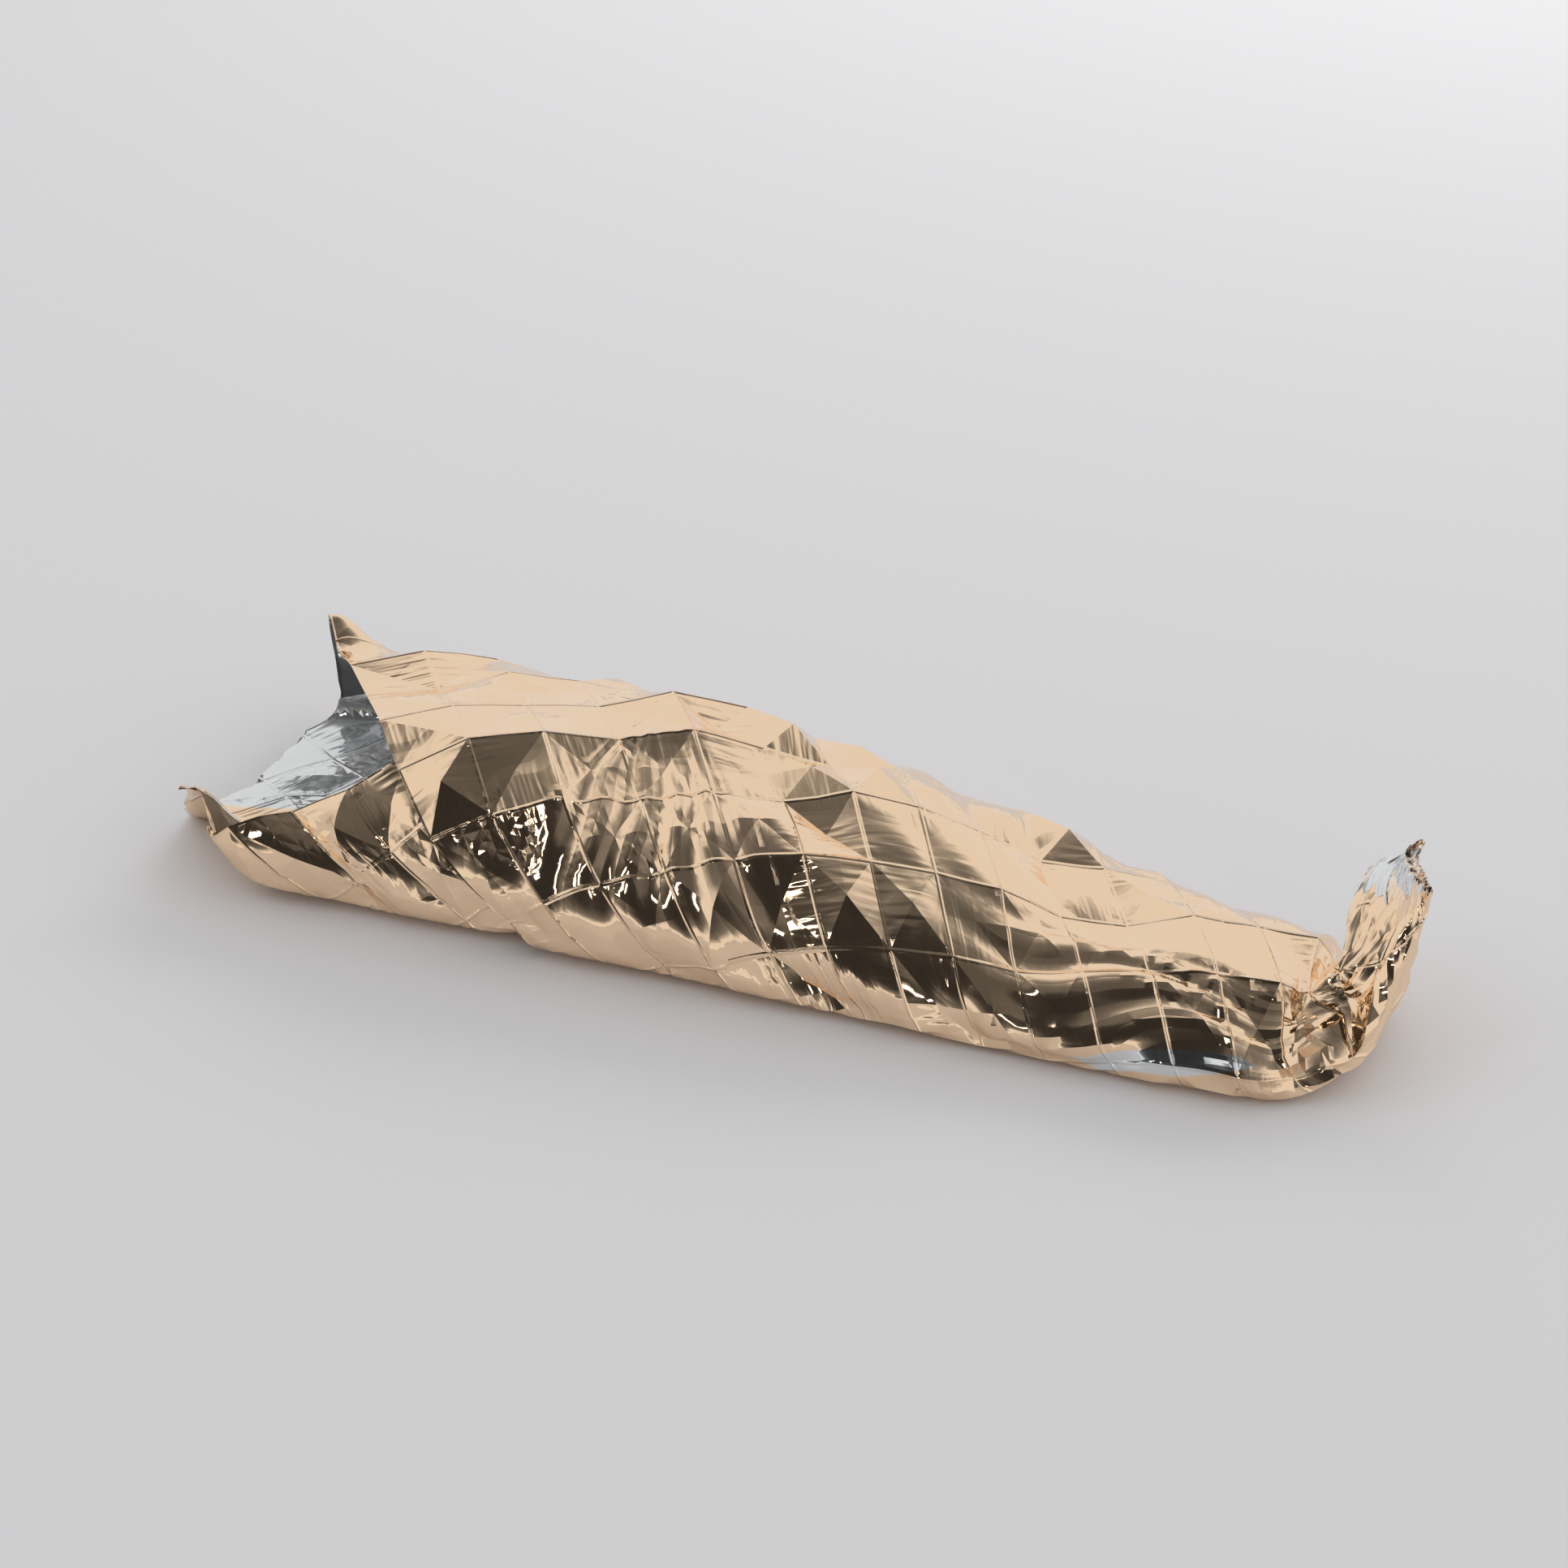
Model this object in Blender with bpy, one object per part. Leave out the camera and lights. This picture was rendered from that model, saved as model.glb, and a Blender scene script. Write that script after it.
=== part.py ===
"""Emergency foil blanket: one cut of metallised film, wrapped over on itself as it lies on the ground.

The film is a plain rectangle that lies corner-wise. Its long way runs from the head corner towards the
near side. The near side is folded over first, the far side is folded over it, and the foot end turns
up over itself. X runs from the head corner to the foot, the near side is -Y, and the ground is z = 0.
"""

import math

import bpy
import numpy as np

# The cut and how it lies, in metres
FILM_SHORT = 1.60
FILM_LONG = 2.10
FILM_THICK = 0.0010
LAY_ANGLE = math.radians(55.0)
HEAD_CORNER_ACROSS = 0.07

# The empty wrap, station by station along it. centre is the middle line's y, width and height are those
# of the loop that the film makes, and lean is how far its top is pulled towards the head.
STATION_COLUMNS = ("along", "centre", "width", "height", "lean")
STATIONS = (
    (0.00, 0.000, 0.40, 0.100, 0.060),
    (0.20, 0.008, 0.45, 0.145, 0.095),
    (0.45, 0.028, 0.50, 0.176, 0.100),
    (0.70, 0.035, 0.50, 0.182, 0.080),
    (0.90, 0.028, 0.48, 0.172, 0.040),
    (1.15, 0.010, 0.44, 0.144, 0.010),
    (1.35, -0.010, 0.39, 0.106, 0.000),
    (1.52, -0.028, 0.34, 0.098, 0.000),
    (1.66, -0.035, 0.28, 0.080, 0.000),
    (1.76, -0.020, 0.23, 0.066, 0.000),
    (1.90, 0.000, 0.28, 0.058, 0.000),
)

# Layers of the wrap: how far apart they lie over it, where it stands LOOSE_HEIGHT high, and under it
TURN_PITCH = 0.016
LOOSE_HEIGHT = 0.100
LEAST_PITCH_SHARE = 0.5
UNDER_PITCH = 0.005

# The loop's outline: lower values of these powers make it flatter and its sides squarer, below and
# above the belly, the height at which the loop is widest
BELLY = 0.38
BASE_POWER = 0.30
BASE_SIDE_POWER = 0.68
TOP_POWER = 0.95
TOP_SIDE_POWER = 0.90
BASE_SINK = 0.004

# The head corner is folded under at HEAD_FOLD. The foot end curves up from FOOT_START, and the film is
# folded back into the wrap at its top edge.
HEAD_FOLD = 0.175
HEAD_FOLD_FADE = (0.350, 0.450)
FOOT_START = 1.62
FOOT_RADIUS = 0.120
FOOT_ANGLE = math.radians(76.0)
FOOT_FOLD = 1.89
FOLD_GAP = 0.0032
FOLD_REACH = 0.0015

# The turned-up end stands askew: above FAN_BASE its far side is drawn in towards the head
FAN_BASE = 0.060
FAN_TOP = 0.205
FAN_START = 1.60
FAN_NEAR = -0.17
FAN_WIDTH = 0.30
FAN_DRAW = 0.120

# Where the film is tucked under itself, the layers rise by UNDER_PITCH over the depth of the tuck, and
# by less higher up
TUCK_FADE = (-0.150, -0.075)
LIFT_FADE = (0.010, 0.060)

# Soft swells of the wrap's top and the raised collar point: x, y, reach along and across, and height
SWELL_COLUMNS = ("x", "y", "reach_x", "reach_y", "height")
SWELLS = (
    (0.225, 0.205, 0.060, 0.060, 0.075),
    (0.560, -0.070, 0.110, 0.120, 0.022),
    (0.790, 0.060, 0.130, 0.110, 0.026),
    (0.960, -0.100, 0.090, 0.080, 0.016),
    (1.130, 0.010, 0.090, 0.120, 0.016),
    (1.310, 0.060, 0.090, 0.120, -0.014),
)

# How finely the sheet is cut into facets
LOOP_ANGLES = (0, 6, 15, 27, 48, 64, 78, 92, 107, 124, 142, 161)
ROW_STEP = 0.050
LATTICE_TURNS = (-2, -1, 0, 1)
TRIM_SNAP = 0.003


def column(table, names, name):
    """One named column of a table, as an array."""
    return np.array([row[names.index(name)] for row in table], float)


def at_station(name, along):
    """A station value, eased between the table's rows."""
    x = column(STATIONS, STATION_COLUMNS, "along")
    y = column(STATIONS, STATION_COLUMNS, name)
    slope = np.gradient(y, x)
    i = np.clip(np.searchsorted(x, along) - 1, 0, len(x) - 2)
    span = x[i + 1] - x[i]
    u = np.clip((along - x[i]) / span, 0.0, 1.0)
    ease = u * u * (3 - 2 * u)
    rise = (u**3 - 2 * u**2 + u) * span * slope[i] + (u**3 - u**2) * span * slope[i + 1]
    return y[i] * (1 - ease) + y[i + 1] * ease + rise


def smooth(value, low, high):
    """0 below low, 1 above high, and a soft step between them."""
    u = np.clip((value - low) / (high - low), 0.0, 1.0)
    return u * u * (3 - 2 * u)


def power(value, exponent):
    return np.sign(value) * np.abs(value) ** exponent


# The film's corners in lay coordinates: along the wrap, and across it from the middle of its base


def lay_point(short, long):
    """Where a point of the cut lies, by its distances along the short and the long way of the film."""
    along = short * math.cos(LAY_ANGLE) + long * math.sin(LAY_ANGLE)
    across = HEAD_CORNER_ACROSS - short * math.sin(LAY_ANGLE) + long * math.cos(LAY_ANGLE)
    return along, across


def far_edge(along):
    """The film's edge on the far side, which folds over last."""
    corner = lay_point(FILM_SHORT, 0)
    first = HEAD_CORNER_ACROSS - along * math.tan(LAY_ANGLE)
    second = corner[1] + (along - corner[0]) / math.tan(LAY_ANGLE)
    return np.maximum(first, second)


# The loop that the film follows at each station


def loop_point(angle, width, height):
    """A point of the loop, by its angle from the base's middle, positive towards the near side."""
    c = np.cos(angle)
    y = -0.5 * width * power(np.sin(angle), np.where(c > 0, BASE_SIDE_POWER, TOP_SIDE_POWER))
    low = BELLY * (1 - power(np.maximum(c, 0), BASE_POWER))
    high = BELLY + (1 - BELLY) * power(np.maximum(-c, 0), TOP_POWER)
    z = np.where(c > 0, low, high) * height
    return y, np.maximum(z - BASE_SINK, 0.0)


def loop_table(along, samples=720):
    """Angles round one loop, and the distance along it to each of them."""
    width, height = at_station("width", along), at_station("height", along)
    angle = np.linspace(0, 2 * math.pi, samples + 1)
    y, z = loop_point(angle, width, height)
    distance = np.concatenate([[0], np.cumsum(np.hypot(np.diff(y), np.diff(z)))])
    return angle, distance


def station_of(along):
    """The station at which a place along the flat film lies once both ends are folded."""
    return FOOT_FOLD - np.abs(HEAD_FOLD + np.abs(along - HEAD_FOLD) - FOOT_FOLD)


def wrapped_point(along, angle):
    """Where the film lies in space, by its place along the wrap and its loop angle. Each turn towards
    the far side lies outside the one before it, and each one under the wrap is flat."""
    folded_back = smooth(along, FOOT_FOLD - FOLD_REACH, FOOT_FOLD + FOLD_REACH) * FOLD_GAP
    not_under = smooth(along, HEAD_FOLD - FOLD_REACH, HEAD_FOLD + FOLD_REACH)
    station = station_of(along)
    width, height = at_station("width", station), at_station("height", station)
    y, z = loop_point(angle, width, height)
    turn = -angle / (2 * math.pi)
    spread = turn * TURN_PITCH * np.clip(height / LOOSE_HEIGHT, LEAST_PITCH_SHARE, 1.0)
    up = z - BELLY * height
    reach = np.where(up > 0, 1 - BELLY, BELLY) * height
    outwards = np.where(up > 0, spread, np.round(turn) * UNDER_PITCH)
    y = y * (1 + (spread - folded_back) / (width / 2))
    z = z + up * (outwards - folded_back) / reach
    head_lift = FOLD_GAP * (not_under - smooth(station, *HEAD_FOLD_FADE)) * (1 - smooth(z, *LIFT_FADE))
    z = np.maximum(z + head_lift + under_lift(station, y, z), 0.0)
    share = np.clip(z / height, 0, 1)
    x = station - at_station("lean", station) * smooth(share, 0.0, 1.0)
    z = z + swell(x, y) * smooth(share, 0.25, 0.95)
    y = y + at_station("centre", station)
    return foot_path(x, y, z)


def under_lift(along, y, z):
    """How far a layer rises over the film that is tucked under it on the near side."""
    width = at_station("width", along)
    angle, distance = loop_table(along)
    depth = -far_edge(along) - distance[-1] * (1 - near_foot_share(angle, distance))
    inwards = y + 0.5 * width
    over = smooth(depth - inwards, *TUCK_FADE) * smooth(depth, *TUCK_FADE)
    return UNDER_PITCH * over * (1 - smooth(z, *LIFT_FADE))


def near_foot_share(angle, distance):
    """The share of the loop from its base's middle to the corner where its near side meets the ground."""
    return np.interp(math.radians(60.0), angle, distance) / distance[-1]


def swell(x, y):
    total = 0.0
    for row in SWELLS:
        x0, y0, reach_x, reach_y, height = row
        total = total + height * np.exp(-(((x - x0) / reach_x) ** 2) - ((y - y0) / reach_y) ** 2)
    return total


def foot_path(x, y, z):
    """Bends what lies past FOOT_START up, and stands its end askew."""
    beyond = np.maximum(x - FOOT_START, 0.0)
    turn = np.minimum(beyond / FOOT_RADIUS, FOOT_ANGLE)
    straight = np.maximum(beyond - FOOT_RADIUS * FOOT_ANGLE, 0.0)
    reach = FOOT_RADIUS - z
    x = np.minimum(x, FOOT_START) + reach * np.sin(turn) + straight * np.cos(turn)
    z = FOOT_RADIUS - reach * np.cos(turn) + straight * np.sin(turn)
    far = np.clip((y - FAN_NEAR) / FAN_WIDTH, 0.0, 1.0) * (x > FAN_START)
    return x - FAN_DRAW * far * smooth(z, FAN_BASE, FAN_TOP), y, z


# The sheet's facets


def row_places():
    """The places of the lattice's rows: evenly spaced, with three at each fold, and each row past a fold
    lies on one before it."""
    start, end = HEAD_FOLD + FOLD_REACH, FOOT_FOLD - FOLD_REACH
    places = list(np.linspace(start, end, round((end - start) / ROW_STEP) + 1))
    under = [2 * HEAD_FOLD - place for place in reversed(places) if place < 2 * HEAD_FOLD + ROW_STEP]
    last = 2 * FOOT_FOLD - lay_point(FILM_SHORT, FILM_LONG)[0]
    back = [2 * FOOT_FOLD - place for place in reversed(places) if place > last - ROW_STEP]
    return [*under, HEAD_FOLD, *places, FOOT_FOLD, *back]


def lattice_angles():
    """The loop angles of the lattice, which are the same in each row and in each turn."""
    half = [math.radians(a) for a in LOOP_ANGLES]
    around = [*half, math.pi, *[2 * math.pi - a for a in half[:0:-1]]]
    return np.array([turn * 2 * math.pi + a for turn in LATTICE_TURNS for a in around])


def lattice_row(along):
    """One row's points, each as its flat place (along, across) and its place in space."""
    angles = lattice_angles()
    around, distances = loop_table(station_of(along))
    whole = np.floor(angles / (2 * math.pi))
    across = whole * distances[-1] + np.interp(angles - whole * 2 * math.pi, around, distances)
    space = np.stack(wrapped_point(along, angles), axis=1)
    return [(along, t, *point) for t, point in zip(across, space)]


def trimmed(polygon, edge):
    """What is left of a polygon of lattice points inside one of the film's edges."""
    kept = []
    for here, after in zip(polygon, [*polygon[1:], *polygon[:1]]):
        if inside_by(here, edge) >= 0:
            kept.append(here)
        if inside_by(here, edge) * inside_by(after, edge) < 0:
            first, second = sorted((here, after))
            share = inside_by(first, edge) / (inside_by(first, edge) - inside_by(second, edge))
            kept.append(tuple(p + (q - p) * share for p, q in zip(first, second)))
    return kept


def inside_by(point, edge):
    """How far a lattice point is inside an edge of the film, 0 where it is near enough to be on it."""
    (x0, y0), (x1, y1) = edge
    distance = ((x1 - x0) * (point[1] - y0) - (y1 - y0) * (point[0] - x0)) / math.dist(*edge)
    return 0.0 if abs(distance) < TRIM_SNAP else distance


def film_edges():
    cut = ((0, 0), (FILM_SHORT, 0), (FILM_SHORT, FILM_LONG), (0, FILM_LONG))
    corners = [lay_point(*corner) for corner in cut]
    return list(zip(corners, [*corners[1:], corners[0]]))


def sheet_surface():
    """The sheet's middle surface, as points and triangles: the lattice, trimmed to the cut's edges."""
    rows = [lattice_row(along) for along in row_places()]
    index, faces = {}, []
    for row, after in zip(rows, rows[1:]):
        turned_over = after[0][0] <= HEAD_FOLD or after[0][0] > FOOT_FOLD
        for a, b, c, d in zip(row, after, after[1:], row[1:]):
            halves = ((a, b, d), (b, c, d)) if turned_over else ((a, b, c), (a, c, d))
            for polygon in halves:
                for edge in film_edges():
                    polygon = trimmed(polygon, edge)
                corners = [index.setdefault(point, len(index)) for point in polygon]
                faces += [(corners[0], *pair) for pair in zip(corners[1:], corners[2:])]
    return np.array([point[2:] for point in index]), faces


def thickened(points, faces, thick):
    """A closed sheet of that thickness, with the given surface in its middle."""
    surface = bpy.data.meshes.new("middle")
    surface.from_pydata([tuple(p) for p in points], [], faces)
    normals = np.array([v.normal for v in surface.vertices])
    rim = [tuple(e) for e in boundary_edges(faces)]
    bpy.data.meshes.remove(surface)
    count = len(points)
    both = np.concatenate([points + normals * thick / 2, points - normals * thick / 2])
    inner = [(c + count, b + count, a + count) for a, b, c in faces]
    walls = [(b, a, a + count, b + count) for a, b in rim]
    return both, [*faces, *inner, *walls]


def boundary_edges(faces):
    """The edges that only one face uses, in that face's direction."""
    directed = {(f[k], f[(k + 1) % 3]) for f in faces for k in range(3)}
    return sorted(edge for edge in directed if edge[::-1] not in directed)


def film_material():
    material = bpy.data.materials.new("gold_metallised_film")
    material.use_nodes = True
    shader = material.node_tree.nodes["Principled BSDF"]
    shader.inputs["Base Color"].default_value = (0.93, 0.70, 0.47, 1)
    shader.inputs["Metallic"].default_value = 1.0
    shader.inputs["Roughness"].default_value = 0.08
    return material


def make_film():
    points, faces = sheet_surface()
    both, shell = thickened(points, faces, FILM_THICK)
    low, high = both.min(axis=0), both.max(axis=0)
    both -= ((low[0] + high[0]) / 2, (low[1] + high[1]) / 2, low[2])
    mesh = bpy.data.meshes.new("foil_film")
    mesh.from_pydata([tuple(p) for p in both], [], shell)
    mesh.materials.append(film_material())
    film = bpy.data.objects.new("foil_film", mesh)
    bpy.context.scene.collection.objects.link(film)
    return film


def clear_scene():
    for old in list(bpy.data.objects):
        bpy.data.objects.remove(old)


def main():
    clear_scene()
    make_film()


main()
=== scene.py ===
"""Emergency foil blanket: one cut of gold and silver metallised film, wrapped over on itself.

The film is worked out flat first, in its own two ways: u across the short way of the cut and v along
the long way. A packing grid of creases puckers it into facets. The flat film is then laid corner-wise
and wrapped: the near side goes over first, the far side over it, and the foot end turns up.
"""

import math

import bpy
import numpy as np
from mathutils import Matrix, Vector


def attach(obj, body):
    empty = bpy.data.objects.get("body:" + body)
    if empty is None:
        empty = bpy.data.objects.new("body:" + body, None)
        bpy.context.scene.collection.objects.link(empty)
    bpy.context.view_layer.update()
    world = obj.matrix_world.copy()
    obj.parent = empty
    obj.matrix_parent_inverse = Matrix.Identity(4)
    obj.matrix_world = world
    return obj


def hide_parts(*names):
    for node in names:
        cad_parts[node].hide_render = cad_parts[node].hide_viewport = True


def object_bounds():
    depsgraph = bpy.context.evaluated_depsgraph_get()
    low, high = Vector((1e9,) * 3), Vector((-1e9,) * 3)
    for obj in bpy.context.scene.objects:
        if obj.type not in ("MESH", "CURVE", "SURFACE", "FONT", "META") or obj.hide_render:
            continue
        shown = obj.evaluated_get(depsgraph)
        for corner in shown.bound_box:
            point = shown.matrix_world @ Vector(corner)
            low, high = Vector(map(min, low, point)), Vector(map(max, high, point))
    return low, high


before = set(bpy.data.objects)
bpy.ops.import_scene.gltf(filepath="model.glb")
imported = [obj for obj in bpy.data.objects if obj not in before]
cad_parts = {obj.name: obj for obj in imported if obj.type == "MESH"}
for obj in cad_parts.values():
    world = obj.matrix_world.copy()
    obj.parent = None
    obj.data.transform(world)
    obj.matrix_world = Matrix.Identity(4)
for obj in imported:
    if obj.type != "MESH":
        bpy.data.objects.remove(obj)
cad_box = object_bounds()

# The cut and how it lies, in metres
FILM_SHORT = 1.60
FILM_LONG = 2.10
LAY_ANGLE = math.radians(55.0)
HEAD_CORNER_ACROSS = 0.07

# The empty wrap, station by station along it. centre is the middle line's y, width and height are those
# of the loop that the film makes, and lean is how far its top is pulled towards the head.
STATION_COLUMNS = ("along", "centre", "width", "height", "lean")
STATIONS = (
    (0.00, 0.000, 0.40, 0.100, 0.060),
    (0.20, 0.008, 0.45, 0.145, 0.095),
    (0.45, 0.028, 0.50, 0.176, 0.100),
    (0.70, 0.035, 0.50, 0.182, 0.080),
    (0.90, 0.028, 0.48, 0.172, 0.040),
    (1.15, 0.010, 0.44, 0.144, 0.010),
    (1.35, -0.010, 0.39, 0.106, 0.000),
    (1.52, -0.028, 0.34, 0.098, 0.000),
    (1.66, -0.035, 0.28, 0.080, 0.000),
    (1.76, -0.020, 0.23, 0.066, 0.000),
    (1.90, 0.000, 0.28, 0.058, 0.000),
)

# Layers of the wrap: how far apart they lie over it, where it stands LOOSE_HEIGHT high, and under it.
# Where the wrap is lower they lie closer, down to LEAST_PITCH_SHARE of that.
TURN_PITCH = 0.016
LOOSE_HEIGHT = 0.100
LEAST_PITCH_SHARE = 0.5
UNDER_PITCH = 0.005

# The loop's outline: lower values of these powers make it flatter and its sides squarer, below and
# above the belly, the height at which the loop is widest
BELLY = 0.38
BASE_POWER = 0.30
BASE_SIDE_POWER = 0.68
TOP_POWER = 0.95
TOP_SIDE_POWER = 0.90

# The loop's base is cut off level this high up, and its near foot is at this angle from its base's middle
BASE_SINK = 0.004
NEAR_FOOT_ANGLE = math.radians(60.0)

# The head corner is folded under at HEAD_FOLD, and lifts the film over it up to the second of the stations
# in HEAD_FOLD_FADE
HEAD_FOLD = 0.175
HEAD_FOLD_FADE = (0.350, 0.450)

# The foot end curves up from FOOT_START, and at its top edge, FOOT_FOLD, the film is folded back into the
# wrap. At both folds the layers lie FOLD_GAP apart, within FOLD_REACH of the fold, and points as near as
# FOLD_SNAP to a fold are moved onto it.
FOOT_START = 1.62
FOOT_RADIUS = 0.120
FOOT_ANGLE = math.radians(76.0)
FOOT_FOLD = 1.89
FOLD_GAP = 0.0032
FOLD_REACH = 0.0015
FOLD_SNAP = 0.0037

# The turned-up end is gathered at the station KNOT, within KNOT_REACH of it, and loses KNOT_DRAW of its
# width there. At the wrap's base it loses HEEL_SHARE of that, and HEEL_FADE says how soon the rest comes in
# over the wrap's height. The foot end is flattened by FOOT_PINCH over the stations in FOOT_PINCH_FADE.
KNOT = 1.735
KNOT_REACH = 0.050
KNOT_DRAW = 0.64
HEEL_SHARE = 0.10
HEEL_FADE = (0.05, 0.50)
FOOT_PINCH = 0.65
FOOT_PINCH_FADE = (1.76, 1.87)

# Above the knot the film opens as a fan, over FAN_OPENS. The fan is narrower than the wrap by FAN_NARROW,
# lies FAN_SHIFT towards the far side and stands FAN_STRETCH further out at the foot.
FAN_OPENS = 0.08
FAN_NARROW = 0.20
FAN_SHIFT = 0.115
FAN_STRETCH = 0.018
STRETCH_FADE = (1.30, 1.60)

# The fan stands askew. From the height FAN_BASE to FAN_TOP its far side is drawn in towards the head by
# FAN_DRAW, and from there to FAN_CREST it comes back by FAN_RETURN of that. Its far side is lower by
# FAN_DROP, and the whole is higher by FAN_RISE. It starts at x = FAN_START, and its far side at y = FAN_NEAR.
FAN_BASE = 0.050
FAN_TOP = 0.120
FAN_CREST = 0.200
FAN_RETURN = 0.50
FAN_START = 1.60
FAN_START_FADE = 0.06
FAN_NEAR = 0.00
FAN_WIDTH = 0.18
FAN_DRAW = 0.110
FAN_DROP = 0.45
FAN_RISE = 0.11

# The gathers of the turned-up end: how far apart and how high they are, and the stations over which they
# come in. From GATHER_OPENS past the knot to the top edge they lose GATHER_LOSS of their height.
GATHER_PITCH = 0.042
GATHER_HEIGHT = 0.0030
GATHER_FADE = (1.65, 1.73)
GATHER_OPENS = 0.06
GATHER_LOSS = 0.6

# The film's relief is calmed by RIM_CALM towards the foot end's top edge
RIM_CALM = 0.85
RIM_FADE = (1.84, 1.885)

# Where the film is tucked under itself, the layers rise by UNDER_PITCH over the depth of the tuck, and
# by less higher up
TUCK_FADE = (-0.150, -0.075)
LIFT_FADE = (0.010, 0.060)

# Soft swells of the wrap's top and the raised collar point: x, y, reach along and across, and height.
# They come in over this share of the wrap's height.
SWELL_FADE = (0.25, 0.95)
SWELLS = (
    (0.225, 0.205, 0.060, 0.060, 0.075),
    (0.560, -0.070, 0.110, 0.120, 0.022),
    (0.790, 0.060, 0.130, 0.110, 0.026),
    (0.960, -0.100, 0.090, 0.080, 0.016),
    (1.130, 0.010, 0.090, 0.120, 0.016),
    (1.310, 0.060, 0.090, 0.120, -0.014),
)

# The packing creases: the film was folded to 16 panels one way and 24 the other. Each panel springs up
# or down at its corners and its middle, a middle's lowest is MIDDLE_SUNK of its highest, and its mesh has
# STEPS cells each way. SEED sets the random rises, and edges bent more than SHARP_ANGLE degrees are sharp.
PANELS_SHORT = 16
PANELS_LONG = 24
STEPS = 10
CORNER_RISE = 0.016
MIDDLE_RISE = 0.022
MIDDLE_SUNK = 0.8
SEED = 11
SHARP_ANGLE = 28.0

# This share of the panels is creased crosswise into four facets. The others are pillows, and their middles
# rise by PILLOW_SHARE of what a crossed panel's middle does.
CROSSED_SHARE = 0.70
PILLOW_SHARE = 0.10

# Panels are broken into smaller facets by up to BROKEN_MOST, which comes in over BROKEN_RANGE of a random
# share from 0 to 1. Panels broken by more than BROKEN_SHARP have sharp edges.
BROKEN_MOST = 0.75
BROKEN_RANGE = (0.25, 0.85)
BROKEN_SHARP = 0.30

# The film is FILM_GAP thick. A panel is level where the smooth wrap bends by less than the first of
# LEVEL_BENDS across it, and follows the wrap past the second.
FILM_GAP = 0.0006
LEVEL_BENDS = (0.008, 0.020)

# A layer is covered where another one lies over it by these depths, and it then lies LAYER_ROOM further in.
# Past the top edge of the foot end it is inside the wrap, within INSIDE_FADE of that edge.
COVERED_FADE = (-0.02, 0.04)
LAYER_ROOM = 0.012
INSIDE_FADE = 0.05

# The film lies on the ground where it faces down by these shares and is this low
FACING_DOWN = (0.2, 0.7)
GROUND_FADE = (0.010, 0.030)

# Film on the ground at the neck is slack, and stands up by LOOSE_SHARE of its relief. That starts at these
# distances past the head fold and fades over these places along the film.
LOOSE_SHARE = 0.80
LOOSE_START = (0.01, 0.05)
LOOSE_FADE = (0.38, 0.50)

# The collar's near corner is turned: it moves by COLLAR_TURN, over these distances across and stations
COLLAR_TURN = (0.060, 0.010, 0.112)
COLLAR_TURN_ACROSS = (0.06, 0.20)
COLLAR_TURN_STATIONS = (0.20, 0.34)

# The collar's near side also reaches further towards the head, over these distances across and stations
COLLAR_REACH = 0.042
COLLAR_REACH_ACROSS = (-0.04, 0.08)
COLLAR_REACH_STATIONS = (0.22, 0.45)

# Pleats that spread over the flat film from the place that gathers them: the place along and across, the
# heading of their middle and their spread in degrees, the distances where they start and end, their number
# and their height
PLEATS = (
    (0.800, -0.480, -72.0, 54.0, 0.17, 0.46, 5, 0.0048),
    (1.780, -0.350, 212.0, 28.0, 0.10, 0.68, 4, 0.0060),
)

# A pleat's height is at most PLEAT_STEEPEST of its width. It falls off from this share of the way to its end
# and over these shares of the spread to each side. Its line wanders by PLEAT_WANDER of its width, in waves
# that are given in radians for each metre outwards and for each degree round.
PLEAT_STEEPEST = 0.10
PLEAT_END_SHARE = 0.55
PLEAT_SIDES = (0.38, 0.52)
PLEAT_WANDER = 0.20
WANDER_OUTWARDS = 23
WANDER_ROUND = 0.09

# Where pleats are PLEAT_FULL high, the panels' own relief is less by PLEAT_FLATTENS
PLEAT_FULL = 0.005
PLEAT_FLATTENS = 0.75

# Crumpled places of the flat film: along, across, how far they reach each way, and how much. They fade over
# these shares of the reach. Half panels stand out by CRUMPLE_RISE, and single points by FINE_CRUMPLE_RISE.
CRUMPLE_FADE = (0.35, 1.0)
CRUMPLE_RISE = 0.006
FINE_CRUMPLE_RISE = 0.0012
CRUMPLES = (
    (0.700, -0.800, 0.080, 0.055, 0.7),
    (0.690, 0.360, 0.130, 0.080, 0.9),
    (0.430, 0.330, 0.200, 0.050, 0.35),
    (1.880, -0.350, 0.035, 0.350, 0.8),
    (1.880, 0.000, 0.035, 0.350, 0.8),
    (0.330, -0.050, 0.160, 0.140, 0.5),
)

# Places of the flat film that stand out or are drawn in: along, across, how far they reach each way, and
# by how much
BULGES = (
    (1.640, -0.520, 0.110, 0.030, 0.014),
    (0.730, -0.840, 0.050, 0.050, -0.010),
)

# Where the film's near edge is turned over and shows its silver side: a wedge along this line, which comes
# to its width over the first share of its length and narrows again from the second
TURNED_START = (1.395, -0.650)
TURNED_END = (1.660, -0.455)
TURNED_WIDTH = 0.023
TURNED_TAPERS = (0.13, 0.40)

# The collar's near corner is doubled over and shows gold on both faces: beyond DOUBLED_FROM across the
# film, and up to the station DOUBLED_TO
DOUBLED_FROM = 0.035
DOUBLED_TO = 0.36

# The marks for these two are distances inside their edge, up to MARK_REACH, and the colour changes within
# MARK_EDGE of the edge
MARK_REACH = 0.01
MARK_EDGE = 0.0003

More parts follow.
